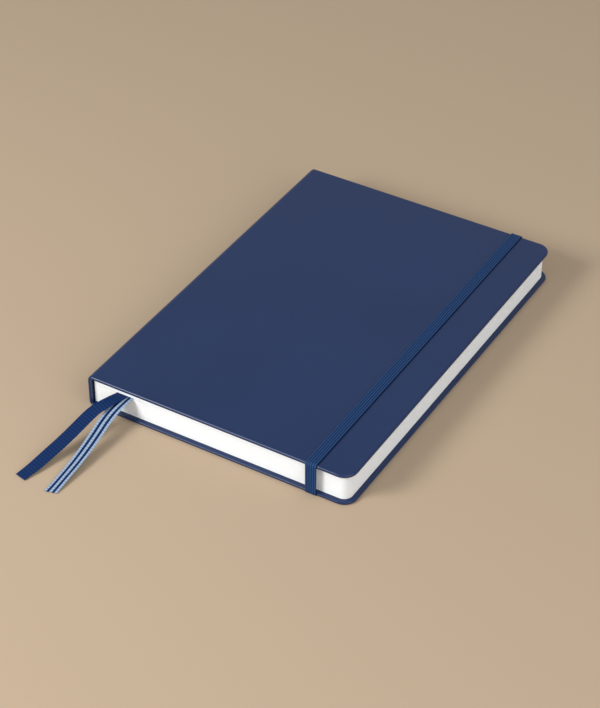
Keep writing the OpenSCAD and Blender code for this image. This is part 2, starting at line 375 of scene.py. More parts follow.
def ribbon_weave(name, sizes, low, high):
    """Grosgrain: polyester with a rib across it, with painted shade making it darker between the ribs.

    The real ribs are finer, and are drawn as coarse as they need to show."""
    material, tree, shader = finish(name, 0.6, high, Specular_IOR_Level=0.2)
    # Painted shade: the colour darkens to the low colour between the ribs.
    rib = waves(tree, "along", sizes.rib_pitch)
    surface(tree, shader, rib, low, high, waves(tree, "across", 0.25 * MM), 0.02 * MM)
    return material, tree, shader, rib


# The striped ribbon's stripes: where each starts, as a share of the width, and if it is pale.
STRIPES = ((0, True), (0.18, False), (0.39, True), (0.59, False), (0.80, True))


def striped_ribbon_weave(sizes, colours):
    """The same grosgrain, woven with two dark stripes between three pale ones."""
    material, tree, shader, rib = ribbon_weave(
        "grosgrain_striped", sizes, colours.ribbon_dark, colours.ribbon_pale
    )
    across = add(tree, "ShaderNodeAttribute", attribute_name="across").outputs["Fac"]
    share = add(tree, "ShaderNodeMath", (across, 1 / sizes.ribbon_w, 0.5), operation="MULTIPLY_ADD")
    ramp = add(tree, "ShaderNodeValToRGB", [share])
    ramp.color_ramp.interpolation = "CONSTANT"
    stops = ramp.color_ramp.elements
    for position, pale in STRIPES:
        stop = stops.new(position) if position else stops[0]
        stop.color = (*(colours.ribbon_pale if pale else colours.ribbon_dark), 1)
    stops.remove(stops[-1])
    # Painted shade between the ribs darkens the stripes there.
    shade = add(tree, "ShaderNodeMapRange", {"Value": rib, "To Min": 0.68, "To Max": 1.0})
    add(
        tree, "ShaderNodeVectorMath", {0: ramp.outputs["Color"], "Scale": shade},
        shader.inputs["Base Color"], operation="SCALE",
    )
    return material


# Meshes


def placed(name, data):
    """A new object in the scene that holds some data."""
    made = bpy.data.objects.new(name, data)
    bpy.context.scene.collection.objects.link(made)
    return made


def flat_mesh(name, points, faces):
    mesh = bpy.data.meshes.new(name)
    mesh.from_pydata(points, [], faces)
    return mesh


def new_piece(name, points, faces, material):
    """A closed mesh piece from points and faces, merged and turned outwards."""
    mesh = flat_mesh(name, points, faces)
    work = bmesh.new()
    work.from_mesh(mesh)
    bmesh.ops.remove_doubles(work, verts=work.verts, dist=MERGE)
    bmesh.ops.dissolve_degenerate(work, edges=work.edges, dist=MERGE)
    bmesh.ops.recalc_face_normals(work, faces=work.faces)
    for face in work.faces:
        face.smooth = True
    work.to_mesh(mesh)
    work.free()
    mesh.set_sharp_from_angle(angle=math.radians(35))
    mesh.materials.append(material)
    return placed(name, mesh)


def baked(source, tree, values):
    """Runs a geometry tree on a source object and leaves a plain mesh in a new object of the same name."""
    modifier = source.modifiers.new(tree.name, "NODES")
    modifier.node_group = tree
    for item in tree.interface.items_tree:
        if item.item_type == "SOCKET" and item.in_out == "INPUT" and item.name in values:
            modifier[item.identifier] = values[item.name]
    bpy.context.view_layer.update()
    graph = bpy.context.evaluated_depsgraph_get()
    mesh = bpy.data.meshes.new_from_object(source.evaluated_get(graph))
    name = source.name
    bpy.data.objects.remove(source)
    mesh.name = name
    return placed(name, mesh)


def new_tree(name, inputs):
    """An empty geometry tree with named inputs: the tree and its input and output nodes."""
    tree = bpy.data.node_groups.new(name, "GeometryNodeTree")
    tree.interface.new_socket("Geometry", in_out="OUTPUT", socket_type="NodeSocketGeometry")
    tree.interface.new_socket("Geometry", in_out="INPUT", socket_type="NodeSocketGeometry")
    for label, kind in inputs:
        tree.interface.new_socket(label, in_out="INPUT", socket_type="NodeSocket" + kind)
    return tree, add(tree, "NodeGroupInput").outputs, add(tree, "NodeGroupOutput")


def quarter(radius, steps):
    """Points of a quarter circle about the origin, from (0, -radius) to (radius, 0), as (across, along)."""
    turns = [k / steps * math.pi / 2 for k in range(steps + 1)]
    return [(radius * math.sin(turn), -radius * math.cos(turn)) for turn in turns]


def cover_corner(sizes, inset, turn):
    """A point on a cover's head corner, inset from its outline. Turn goes from 0 at the head to a quarter turn."""
    radius = max(sizes.corner_round - inset, 0)
    shift = max(sizes.corner_round, inset)
    return FORE_X - shift + radius * math.sin(turn), HALF_H - shift + radius * math.cos(turn)


def smooth_step(low, high, value):
    share = min(max((value - low) / (high - low), 0), 1)
    return share * share * (3 - 2 * share)


CHANNEL_SLOPE = 0.3 * MM                  # width of the rounded brink of the strap's channel
CHANNEL_BRINK = (0, 0.25, 0.5, 0.75, 1)   # shares of the slope that get a line of points
SHOULDER = 0.6 * MM                       # from a rounded edge to the first line of points on the flat
SPINE_RINGS = (1.2 * MM, 0.5 * MM)        # from the spine's turn to the lines of points beside it


def rounded_side(gap, outer, inside, depth):
    """Round a cover's edge from its outer face to its inner one, as (inset, depth), inside its outline by gap."""
    outer, inside = max(outer - gap, 0.1 * MM), max(inside - gap, 0.1 * MM)
    upper = [(gap + outer - x, gap + outer + z) for x, z in quarter(outer, 7)]
    lower = [(gap + inside + z, depth - gap - inside + x) for x, z in quarter(inside, 4)]
    return upper + lower


def cover_profile(sizes, inner):
    """Half a section through a cover's edge, as (inset from the outline, depth from the outer face).

    The covering's goes out along the outer face, round the edge, in along the turn-in and back inside it.
    The board's goes round inside the covering."""
    reach = sizes.channel_run + 2 * CHANNEL_SLOPE
    shoulder = sizes.outer_round + SHOULDER

    def face(depth):
        brink = [sizes.channel_run + (1 - share) * CHANNEL_SLOPE for share in CHANNEL_BRINK]
        return [(inset, depth) for inset in (reach, *brink, shoulder)]

    if inner:
        gap = SKIN_T + BETWEEN
        inside = [(sizes.turn_in + BETWEEN, BOARD_TOP - gap), (sizes.turn_in + BETWEEN, BOARD_TOP - BETWEEN)]
        side = rounded_side(gap, sizes.outer_round, sizes.inner_round, BOARD_TOP)
        return face(gap) + side + inside + [(reach, BOARD_TOP - BETWEEN)]
    outside = face(0) + rounded_side(0, sizes.outer_round, sizes.inner_round, BOARD_TOP)
    inside = face(SKIN_T) + rounded_side(SKIN_T, sizes.outer_round, sizes.inner_round, BOARD_TOP)
    return outside + [(sizes.turn_in, BOARD_TOP), (sizes.turn_in, BOARD_TOP - SKIN_T)] + inside[::-1]


def spine_line(sizes, steps=12):
    """From the middle of the spine to the flat of the cover: X, Z, the inward direction and the thickness."""
    flat = (BOOK_T / 2, *(SPINE_R + away for away in SPINE_RINGS))
    stops = [(SPINE_X, z, 1, 0, sizes.spine_depth) for z in flat]
    for k in range(steps, -1, -1):
        turn = k / steps * math.pi / 2
        dip = math.sin(math.pi * k / steps) ** 2
        edge = sizes.spine_depth * k / steps + BOARD_TOP * (1 - k / steps)
        depth = edge + (sizes.joint_depth - edge) * dip
        ix, iz = math.sin(turn), math.cos(turn)
        stops.append((PANEL_X - SPINE_R * ix, SPINE_R - SPINE_R * iz, ix, iz, depth))
    return stops


def case_piece(name, sizes, material, front, inner):
    """Half of the case: the covering of one cover with its half of the spine, or the board inside it."""
    profile = cover_profile(sizes, inner)
    corner_steps = 14
    places = []

    def channelled(x, inset, depth):
        """Depth after the strap's channel has pressed the back cover in."""
        if front:
            return depth
        across = 1 - smooth_step(0, CHANNEL_SLOPE, abs(x - STRAP_X) - STRAP_W / 2 - STRAP_FIT)
        along = 1 - smooth_step(0, CHANNEL_SLOPE, inset - sizes.channel_run)
        return depth + sizes.channel_depth * across * along * (1 - depth / BOARD_TOP)

    if not inner:
        for x, z, ix, iz, thick in spine_line(sizes):
            squeeze = (thick - SKIN_T) / (BOARD_TOP - SKIN_T)

            def on_spine(inset, depth, x=x, z=z, ix=ix, iz=iz, squeeze=squeeze):
                if depth > SKIN_T:
                    depth = SKIN_T + (depth - SKIN_T) * squeeze
                return x + ix * depth, HALF_H - inset, z + iz * depth

            places.append(on_spine)
    spine_places = len(places)
    half_channel = STRAP_W / 2 + STRAP_FIT
    start = BOARD_X + BETWEEN if inner else PANEL_X + SHOULDER
    straight = [start]
    straight += [STRAP_X - half_channel - share * CHANNEL_SLOPE for share in reversed(CHANNEL_BRINK)]
    straight += [STRAP_X + half_channel + share * CHANNEL_SLOPE for share in CHANNEL_BRINK]
    for x in straight:
        places.append(lambda inset, depth, x=x: (x, HALF_H - inset, channelled(x, inset, depth)))
    for k in range(corner_steps + 1):

        def on_corner(inset, depth, turn=k / corner_steps * math.pi / 2):
            x, y = cover_corner(sizes, inset, turn)
            return x, y, depth

        places.append(on_corner)

    head = [[place(*point) for point in profile] for place in places]
    tail = [[(x, -y, z) for x, y, z in ring] for ring in head]
    rings = tail + head[::-1]
    if front:
        rings = [[(x, y, BOOK_T - z) for x, y, z in ring] for ring in rings]
    size, last = len(profile), len(rings) - 1
    points = [point for ring in rings for point in ring]
    faces = []
    for r in range(last):
        for p in range(size - 1):
            faces.append((r * size + p, r * size + p + 1, (r + 1) * size + p + 1, (r + 1) * size + p))
    for p in (0, size - 1):
        for r in range(spine_places):
            faces.append((r * size + p, (r + 1) * size + p, (last - r - 1) * size + p, (last - r) * size + p))
        faces.append([r * size + p for r in range(spine_places, last - spine_places + 1)])
    faces.append(list(range(size)) + [last * size + p for p in reversed(range(size))])
    return new_piece(name, points, faces, material)


def fold_line(sizes, z_low, z_high, stops):
    """A section's outermost folded sheet, from fore-edge round the fold to fore-edge, as (X, Z, half height)."""
    radius = (z_high - z_low) / 2
    corner = sizes.page_round
    turns = [k / 8 * math.pi / 2 for k in range(9)]
    flat = [
        (PAGE_FORE_X - corner + corner * math.cos(turn), PAGE_HALF_H - corner + corner * math.sin(turn))
        for turn in turns
    ]
    fold_x = PAGE_X + radius
    flat += [(fold_x + (flat[-1][0] - fold_x) * (1 - k / stops), PAGE_HALF_H) for k in range(1, stops + 1)]
    lower = [(x, z_low, y) for x, y in flat]
    upper = [(x, z_high, y) for x, y in reversed(flat)]
    fold = []
    for k in range(1, 10):
        turn = k / 10 * math.pi
        fold.append((fold_x - radius * math.sin(turn), z_low + radius - radius * math.cos(turn), PAGE_HALF_H))
    return lower + fold + upper


# Where the ribbons lie between the sections. Across them the leaves above lie on them, and further off they close.
RIBBON_X = -50.7 * MM     # their middle where they lie nearest to the fore-edge
RIBBON_Y = -52 * MM       # where that is
RIBBON_BOW = -0.62        # how fast they bow towards the spine, as X over the distance from there squared
NEAR_RIBBONS = 6 * MM     # from their middle to where the leaves start to close
OFF_RIBBONS = 22 * MM     # and to where they have closed
SHEET_FILL = 0.94         # share of a leaf's thickness that is paper, with air for the rest
TRIM_START = 8 * MM       # from the fold to where the leaves start to differ in width


def leaves_tree(material):
    """Nests folded sheets in one another, trims each a little differently and closes them over the ribbons."""
    tree, given, output = new_tree("Folded leaves", (
        ("Sheets", "Int"), ("Leaf Thickness", "Float"), ("Trim Wander", "Float"), ("Closing", "Float"),
        ("Closing Top", "Float"), ("Closing Bottom", "Float"), ("Seed", "Int"),
    ))
    points = add(tree, "GeometryNodePoints", {"Count": given["Sheets"]})
    numbered = add(
        tree, "GeometryNodeStoreNamedAttribute",
        {"Geometry": points, "Name": "sheet", "Value": add(tree, "GeometryNodeInputIndex")}, data_type="FLOAT",
    )
    sheets = add(tree, "GeometryNodeInstanceOnPoints", {"Points": numbered, "Instance": given["Geometry"]})
    sheets = add(tree, "GeometryNodeRealizeInstances", {"Geometry": sheets})
    sheet = add(tree, "GeometryNodeInputNamedAttribute", {"Name": "sheet"}, data_type="FLOAT")
    normal = add(tree, "GeometryNodeInputNormal")

    # Each sheet lies inside the one before it.
    inwards = add(tree, "ShaderNodeMath", (sheet, given["Leaf Thickness"]), operation="MULTIPLY")
    inwards = add(tree, "ShaderNodeMath", (inwards, -1.0), operation="MULTIPLY")
    offset = add(tree, "ShaderNodeVectorMath", {0: normal, "Scale": inwards}, operation="SCALE")
    nested = add(tree, "GeometryNodeSetPosition", {"Geometry": sheets, "Offset": offset})

    # The trimmed edges wander from leaf to leaf, at the fore-edge, the head and the tail.
    x, y, z = add(tree, "ShaderNodeSeparateXYZ", [add(tree, "GeometryNodeInputPosition")]).outputs
    _, _, up = add(tree, "ShaderNodeSeparateXYZ", [normal]).outputs
    side = add(tree, "ShaderNodeMath", (up, 0.0), operation="GREATER_THAN")
    leaf = add(tree, "ShaderNodeMath", (sheet, 2.0, side), operation="MULTIPLY_ADD")
    reach = add(
        tree, "ShaderNodeMapRange",
        {"Value": x, "From Min": PAGE_X + TRIM_START, "From Max": PAGE_FORE_X, "To Min": 0.0, "To Max": -1.0},
    )
    rise = add(tree, "ShaderNodeMath", (y, -1 / PAGE_HALF_H), operation="MULTIPLY")
    trims = []
    for k, share in enumerate((reach, rise)):
        seed = add(tree, "ShaderNodeMath", (given["Seed"], 2.0, float(k)), operation="MULTIPLY_ADD")
        wander = add(
            tree, "FunctionNodeRandomValue", {3: given["Trim Wander"], "ID": leaf, "Seed": seed},
            data_type="FLOAT",
        )
        trims.append(add(tree, "ShaderNodeMath", (wander, share), operation="MULTIPLY"))

    # Away from the ribbons the upper leaves come down and close the room that the ribbons take up.
    bow = add(tree, "ShaderNodeMath", (y, -RIBBON_Y), operation="ADD")
    bow = add(tree, "ShaderNodeMath", (bow, 2.0), operation="POWER")
    middle = add(tree, "ShaderNodeMath", (bow, RIBBON_BOW, RIBBON_X), operation="MULTIPLY_ADD")
    away = add(tree, "ShaderNodeMath", (x, middle), operation="SUBTRACT")
    away = add(tree, "ShaderNodeMath", [away], operation="ABSOLUTE")
    away = add(
        tree, "ShaderNodeMapRange", {"Value": away, "From Min": NEAR_RIBBONS, "From Max": OFF_RIBBONS},
        interpolation_type="SMOOTHERSTEP",
    )
    share = add(
        tree, "ShaderNodeMapRange",
        {"Value": z, "From Min": given["Closing Bottom"], "From Max": given["Closing Top"], "To Min": -1.0,
         "To Max": 0.0},
    )
    drop = add(tree, "ShaderNodeMath", (away, share), operation="MULTIPLY")
    drop = add(tree, "ShaderNodeMath", (drop, given["Closing"]), operation="MULTIPLY")
    shift = add(tree, "ShaderNodeCombineXYZ", (*trims, drop))
    trimmed = add(tree, "GeometryNodeSetPosition", {"Geometry": nested, "Offset": shift})

    # Thickness: the sheet's outer face, and an inner face drawn out of it with the cut edges.
    thick = add(tree, "ShaderNodeMath", (given["Leaf Thickness"], -SHEET_FILL), operation="MULTIPLY")
    drawn = add(
        tree, "GeometryNodeExtrudeMesh", {"Mesh": trimmed, "Offset Scale": thick, "Individual": False}, mode="FACES"
    )
    inner, outer = (
        add(
            tree, "GeometryNodeStoreNamedAttribute", {"Geometry": face, "Name": "printed", "Value": printed},
            data_type="FLOAT", domain="FACE",
        )
        for face, printed in ((drawn, drawn.outputs["Top"]), (trimmed, 1.0))
    )
    inner = add(tree, "GeometryNodeFlipFaces", {"Mesh": inner})
    both = add(tree, "GeometryNodeJoinGeometry", [inner])
    tree.links.new(in_use(outer), both.inputs[0])
    closed = add(tree, "GeometryNodeMergeByDistance", {"Geometry": both, "Distance": 0.001 * MM})
    real = add(tree, "GeometryNodeRealizeInstances", {"Geometry": closed})
    add(tree, "GeometryNodeSetMaterial", {"Geometry": real, "Material": material}, output.inputs[0])
    return tree


SLANT_REACH = 8 * MM      # from a band's far end to where its slanted cut stops pulling at it


def band_tree():
    """Draws a band's section along a path, with ribs across it, and keeps where each point is on the band."""
    tree, given, output = new_tree("Woven band", (
        ("Section", "Object"), ("Step", "Float"), ("Rib Pitch", "Float"), ("Rib Depth", "Float"),
        ("Cut Slant", "Float"), ("Material", "Material"),
    ))
    path = add(
        tree, "GeometryNodeResampleCurve", {"Curve": given["Geometry"], "Length": given["Step"]}, mode="LENGTH"
    )
    path = add(tree, "GeometryNodeSetCurveNormal", {"Curve": path}, mode="Z_UP")
    travelled = add(tree, "GeometryNodeSplineParameter").outputs["Length"]
    whole = add(tree, "GeometryNodeSplineLength").outputs["Length"]
    tangent = add(tree, "GeometryNodeInputTangent")
    kept = (("along", travelled, "FLOAT"), ("whole", whole, "FLOAT"), ("ahead", tangent, "FLOAT_VECTOR"))
    for name, value, kind in kept:
        path = add(
            tree, "GeometryNodeStoreNamedAttribute", {"Geometry": path, "Name": name, "Value": value},
            data_type=kind,
        )
    section = add(tree, "GeometryNodeObjectInfo", {"Object": given["Section"]}).outputs["Geometry"]
    width = add(tree, "ShaderNodeSeparateXYZ", [add(tree, "GeometryNodeInputPosition")])
    section = add(
        tree, "GeometryNodeStoreNamedAttribute", {"Geometry": section, "Name": "across", "Value": width},
        data_type="FLOAT",
    )
    band = add(tree, "GeometryNodeCurveToMesh", {"Curve": path, "Profile Curve": section, "Fill Caps": True})
    along, across, length, ahead = (
        add(tree, "GeometryNodeInputNamedAttribute", {"Name": name}, data_type=kind)
        for name, kind in (("along", "FLOAT"), ("across", "FLOAT"), ("whole", "FLOAT"), ("ahead", "FLOAT_VECTOR"))
    )

    # Ribs stand out of the band on both faces and at its edges.
    turns = add(tree, "ShaderNodeMath", (along, given["Rib Pitch"]), operation="DIVIDE")
    angle = add(tree, "ShaderNodeMath", (turns, 2 * math.pi), operation="MULTIPLY")
    wave = add(tree, "ShaderNodeMath", [angle], operation="COSINE")
    height = add(tree, "ShaderNodeMath", (wave, given["Rib Depth"]), operation="MULTIPLY")
    normal = add(tree, "GeometryNodeInputNormal")
    ribs = add(tree, "ShaderNodeVectorMath", {0: normal, "Scale": height}, operation="SCALE")

    # The far end is cut on a slant.
    left = add(tree, "ShaderNodeMath", (length, along), operation="SUBTRACT")
    near = add(tree, "ShaderNodeMapRange", {"Value": left, "From Max": SLANT_REACH, "To Min": 1.0, "To Max": 0.0})
    slant = add(tree, "ShaderNodeMath", (across, given["Cut Slant"]), operation="MULTIPLY")
    slant = add(tree, "ShaderNodeMath", (slant, near), operation="MULTIPLY")
    cut = add(tree, "ShaderNodeVectorMath", {0: ahead, "Scale": slant}, operation="SCALE")
    offset = add(tree, "ShaderNodeVectorMath", (ribs, cut), operation="ADD")
    shaped = add(tree, "GeometryNodeSetPosition", {"Geometry": band, "Offset": offset})
    real = add(tree, "GeometryNodeRealizeInstances", {"Geometry": shaped})
    add(tree, "GeometryNodeSetMaterial", {"Geometry": real, "Material": given["Material"]}, output.inputs[0])
    return tree


def stitches_tree(material):
    """Puts a short length of thread at each sewing station along the back of a section."""
    tree, given, output = new_tree("Sewing stations", (
        ("Stations", "Int"), ("First", "Vector"), ("Spacing", "Vector"), ("Thread Diameter", "Float"),
        ("Stitch", "Float"),
    ))
    line = add(
        tree, "GeometryNodeMeshLine",
        {"Count": given["Stations"], "Start Location": given["First"], "Offset": given["Spacing"]},
    )
    radius = add(tree, "ShaderNodeMath", (given["Thread Diameter"], 0.5), operation="MULTIPLY")
    stitch = add(
        tree, "GeometryNodeMeshCylinder",
        {"Vertices": 12, "Side Segments": 3, "Radius": radius, "Depth": given["Stitch"]},
    )
    smooth = add(tree, "GeometryNodeSetShadeSmooth", {"Geometry": stitch})
    row = add(tree, "GeometryNodeInstanceOnPoints", {"Points": line, "Instance": smooth})
    real = add(tree, "GeometryNodeRealizeInstances", {"Geometry": row})
    add(tree, "GeometryNodeSetMaterial", {"Geometry": real, "Material": material}, output.inputs[0])
    return tree


def curve_piece(name, points, banks=None, closed=False):
    """A curve of straight stretches through points, with a bank in radians at each."""
    curve = bpy.data.curves.new(name, "CURVE")
    curve.dimensions = "3D"
    spline = curve.splines.new("POLY")
    spline.points.add(len(points) - 1)
    for k, (point, made) in enumerate(zip(points, spline.points)):
        made.co = (*point, 1)
        made.tilt = banks[k] if banks else 0
    spline.use_cyclic_u = closed
    return placed(name, curve)


def band_section(name, width, thick, cords=0, cord_depth=0.0, per_side=12):
    """The closed section of a band, with round edges and a raised cord for each of its cords."""
    count = per_side * max(cords, 1)
    upper = []
    for k in range(count + 1):
        share = k / count
        x = width * (share - 0.5)
        edge = min(share, 1 - share) * width
        swell = math.sqrt(max(0, 1 - (1 - min(edge / (thick / 2), 1)) ** 2))
        valley = cord_depth * (0.5 + 0.5 * math.cos(2 * math.pi * cords * share)) if cords else 0
        upper.append((x, (thick / 2 - valley * min(edge / (thick / 2), 1)) * swell))
    lower = [(x, -y) for x, y in reversed(upper[1:-1])]
    return curve_piece(name, [(x, y, 0) for x, y in upper + lower], closed=True)


def woven_band(name, points, section, material, step, banks=None, rib_pitch=1.0, rib_depth=0.0, slant=0.0):
    """A band along points, with a section that is used up. Its ribs, if it has any, are across it."""
    made = baked(curve_piece(name, points, banks), band_tree(), {
        "Section": section, "Step": step, "Rib Pitch": rib_pitch, "Rib Depth": rib_depth,
        "Cut Slant": slant, "Material": material,
    })
    bpy.data.objects.remove(section)
    for face in made.data.polygons:
        face.use_smooth = True
    made.data.set_sharp_from_angle(angle=math.radians(50))
    return made


def smooth_route(route, steps):
    """A smooth curve through a route's points, and its bank in radians."""
    line = []
    for i in range(len(route) - 1):
        a, b, c, d = (route[max(0, min(len(route) - 1, i + k))] for k in (-1, 0, 1, 2))
        for s in range(steps):
            t = s / steps
            line.append([
                (2 * q + (r - p) * t + (2 * p - 5 * q + 4 * r - w) * t * t + (3 * q - p - 3 * r + w) * t ** 3) / 2
                for p, q, r, w in zip(a, b, c, d)
            ])
    line.append(list(route[-1]))
    return [point[:3] for point in line], [math.radians(-point[3]) for point in line]


# Each point of a ribbon's route: X, Y and Z in metres, and how far the ribbon is banked there, in degrees.
PLAIN_ROUTE = (
    (-0.0660, 0.1030, 0.01274, 0), (-0.0640, 0.0900, 0.01274, 0), (-0.0610, 0.0700, 0.01274, 0),
    (-0.0575, 0.0450, 0.01274, 0), (-0.0545, 0.0200, 0.01274, 0), (-0.0524, -0.0050, 0.01274, 0),
    (-0.0512, -0.0300, 0.01274, 0), (-0.0508, -0.0550, 0.01274, 0), (-0.0514, -0.0780, 0.01274, 0),
    (-0.0528, -0.0940, 0.01274, 0), (-0.0544, -0.1036, 0.01274, 0), (-0.0564, -0.1090, 0.01260, 3),
    (-0.0586, -0.1140, 0.01190, 8), (-0.0607, -0.1188, 0.01070, 12), (-0.0620, -0.1246, 0.00910, 13),
    (-0.0632, -0.1324, 0.00710, 13), (-0.0646, -0.1411, 0.00520, 13), (-0.0662, -0.1499, 0.00350, 12),
    (-0.0677, -0.1578, 0.00200, 7), (-0.0690, -0.1627, 0.00110, 2), (-0.0699, -0.1665, 0.00050, 0),
)
STRIPED_ROUTE = (
    (-0.0640, 0.1030, 0.01244, 0), (-0.0615, 0.0900, 0.01244, 0), (-0.0580, 0.0700, 0.01244, 0),
    (-0.0545, 0.0450, 0.01244, 0), (-0.0520, 0.0200, 0.01244, 0), (-0.0506, -0.0050, 0.01244, 0),
    (-0.0500, -0.0300, 0.01244, 0), (-0.0498, -0.0550, 0.01244, 0), (-0.0502, -0.0780, 0.01244, 0),
    (-0.0510, -0.0940, 0.01244, 0), (-0.0516, -0.1036, 0.01244, 0), (-0.0520, -0.1070, 0.01204, 0),
    (-0.0529, -0.1109, 0.01090, 2), (-0.0536, -0.1157, 0.00940, 4), (-0.0536, -0.1215, 0.00790, 4),
    (-0.0530, -0.1293, 0.00610, 2), (-0.0524, -0.1380, 0.00440, 0), (-0.0520, -0.1469, 0.00290, -4),
    (-0.0519, -0.1557, 0.00170, -6), (-0.0518, -0.1626, 0.00090, -4), (-0.0518, -0.1675, 0.00040, 0),
)


LOWER_TURN = 0.9 * MM     # radius of the strap's middle where it turns under the back cover
UPPER_TURN = 1.45 * MM    # and where it turns over the front one


def strap_line():
    """The middle of the strap's thickness, from its slot at the tail over the book to its slot at the head."""
    low = STRAP_FIT + STRAP_T / 2
    high, side = BOOK_T + low, HALF_H + low
    tail = [(STRAP_X, STRAP_T / 2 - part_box("strap_ends")[1].y, low)]
    tail += [(STRAP_X, -side + LOWER_TURN - x, low + LOWER_TURN + z) for x, z in quarter(LOWER_TURN, 8)]
    tail += [(STRAP_X, -side + UPPER_TURN + z, high - UPPER_TURN + x) for x, z in quarter(UPPER_TURN, 8)]
    return tail + [(x, -y, z) for x, y, z in reversed(tail)]


def gauze_piece(name, wall_t, material, front):
    """Half of the gauze: its wall behind the sections up to the middle, and its flange on one board."""
    low, high = gauze_low, gauze_high
    flange_t = 0.08 * MM
    rise = 24
    middle = BOOK_T / 2
    outer = [(high.x, low.z), (low.x, low.z)]
    outer += [(low.x, low.z + (middle - low.z) * k / rise) for k in range(1, rise + 1)]
    inside = [(low.x + wall_t, z) for _, z in reversed(outer[2:])]
    inside += [(x, low.z + flange_t) for x in (low.x + wall_t, high.x)]
    ring = outer + inside
    count = len(ring)
    points = [(x, y, BOOK_T - z if front else z) for y in (low.y, high.y) for x, z in ring]
    faces = [(k, (k + 1) % count, count + (k + 1) % count, count + k) for k in range(count)]
    for k in range(count // 2 - 1):
        cut = (k, k + 1, count - 2 - k, count - 1 - k)
        faces += [cut, [count + corner for corner in cut]]
    return new_piece(name, points, faces, material)


def joined(piece, body, slot, *nodes):
    """Attaches a finished piece to the body that it rides on, and hides the CAD nodes that it stands for. Its slot
    is not used.
    """
    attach(piece, body)
    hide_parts(*nodes)
    return piece


def bent(piece, body, front, flat, turned, slot, *nodes):
    """For a piece that reaches from a cover round to the spine: bakes its place into its mesh and hides the CAD
    nodes that it stands for. Its body, front, flat and turned places (both as (X, Z)) and its slot are not used.
    """
    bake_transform(piece)
    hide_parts(*nodes)
    return piece


class LOGBOOK_OT_case(bpy.types.Operator):
    """Build the covering and the boards inside it"""

    bl_idname = "logbook.case"
    bl_label = "Case"

    def execute(self, context):
        sizes, colours = context.scene.logbook_sizes, context.scene.logbook_colours
        skin, board = leatherette(colours), board_stock(colours)
        for side, body, front in (("back", "root", False), ("front", "front_cover", True)):
            covering = case_piece("covering_" + side, sizes, skin, front, inner=False)
            bent(
                covering, body, front, (PANEL_X, 0), (SPINE_X, SPINE_R),
                "leatherette", "cover_skin_" + side, "joint_skin_" + side, "cover_skin_spine",
            )
            stiff = case_piece("cover_board_" + side, sizes, board, front, inner=True)
            joined(stiff, body, "board", side + "_board")
        return {"FINISHED"}


class LOGBOOK_OT_papers(bpy.types.Operator):
    """Give the endpapers, the spine's strip and liner and the strap's ends their finishes"""

    bl_idname = "logbook.papers"
    bl_label = "Papers and Spine"

    def execute(self, context):
        sizes, colours = context.scene.logbook_sizes, context.scene.logbook_colours
        endpaper = plain_paper("endpaper_stock", colours.endpaper)
        finishes = {
            "back_endpaper": endpaper,
            "front_endpaper": endpaper,
            "spine_strip": bpy.data.materials.get("binders_board") or board_stock(colours),
            "spine_liner": plain_paper("kraft_liner", colours.liner),
            "strap_ends": elastic_band(sizes, colours),
        }
        for node, material in finishes.items():
            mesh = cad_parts[node].data
            mesh.materials.clear()
            mesh.materials.append(material)
        return {"FINISHED"}


class LOGBOOK_OT_sections(bpy.types.Operator):
    """Build the folded leaves of every section"""

    bl_idname = "logbook.sections"
    bl_label = "Sections"

    def execute(self, context):
        sizes, colours = context.scene.logbook_sizes, context.scene.logbook_colours
        tree = leaves_tree(page_paper(colours))
        block_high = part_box(SECTIONS[0])[1].z
        bending_steps = 24
        for number, node in enumerate(SECTIONS, 1):
            low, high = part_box(node)
            z_low, z_high = low.z + BETWEEN / 2, high.z - BETWEEN / 2
            above = number <= SECTIONS_ABOVE
            rows = bending_steps if above else 1
            line = fold_line(sizes, z_low, z_high, stops=rows)
            points = [(x, y * (2 * row / rows - 1), z) for x, z, y in line for row in range(rows + 1)]
            faces = []
            for k in range(len(line) - 1):
                for row in range(rows):
                    here, beyond = (stop * (rows + 1) + row for stop in (k, k + 1))
                    faces.append((here, beyond, beyond + 1, here + 1))
            source = placed(node.replace("section", "leaves"), flat_mesh(node, points, faces))
            leaves = baked(source, tree, {
                "Sheets": sizes.sheets, "Leaf Thickness": (z_high - z_low) / 2 / sizes.sheets,
                "Trim Wander": sizes.trim_wander,
                "Closing": above_low.z - below_high.z - BETWEEN if above else 0.0,
                "Closing Top": block_high, "Closing Bottom": above_low.z, "Seed": number,
            })
            joined(leaves, node, "page_paper", node)
        return {"FINISHED"}


class LOGBOOK_OT_sewing(bpy.types.Operator):
    """Build the gauze and the thread on the backs of the sections"""

    bl_idname = "logbook.sewing"
    bl_label = "Gauze and Thread"

    def execute(self, context):
        sizes, colours = context.scene.logbook_sizes, context.scene.logbook_colours
        gauze = gauze_cloth(colours)
        for side, body, front in (("back", "root", False), ("front", "front_cover", True)):
            bent(
                gauze_piece("gauze_" + side, sizes.gauze_t, gauze, front), body, front,
                (gauze_low.x, gauze_low.z + 0.1 * MM), (gauze_low.x, gauze_low.z + 0.65 * MM), "gauze", "mull",
            )
        tree = stitches_tree(linen_thread(colours))
        thread_d = thread_high.x - thread_low.x
        spacing = (thread_high.y - thread_low.y - thread_d) / (STATIONS - 1)
        for node in SECTIONS:
            low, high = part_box(node)
            source = placed(node.replace("section", "thread"), bpy.data.meshes.new(node))
            thread = baked(source, tree, {
                "Stations": STATIONS, "First": (PAGE_X, thread_low.y + thread_d / 2, (low.z + high.z) / 2),
                "Spacing": (0, spacing, 0), "Thread Diameter": thread_d, "Stitch": high.z - low.z,
            })
            joined(thread, node, "thread", "sewing_thread")
        return {"FINISHED"}


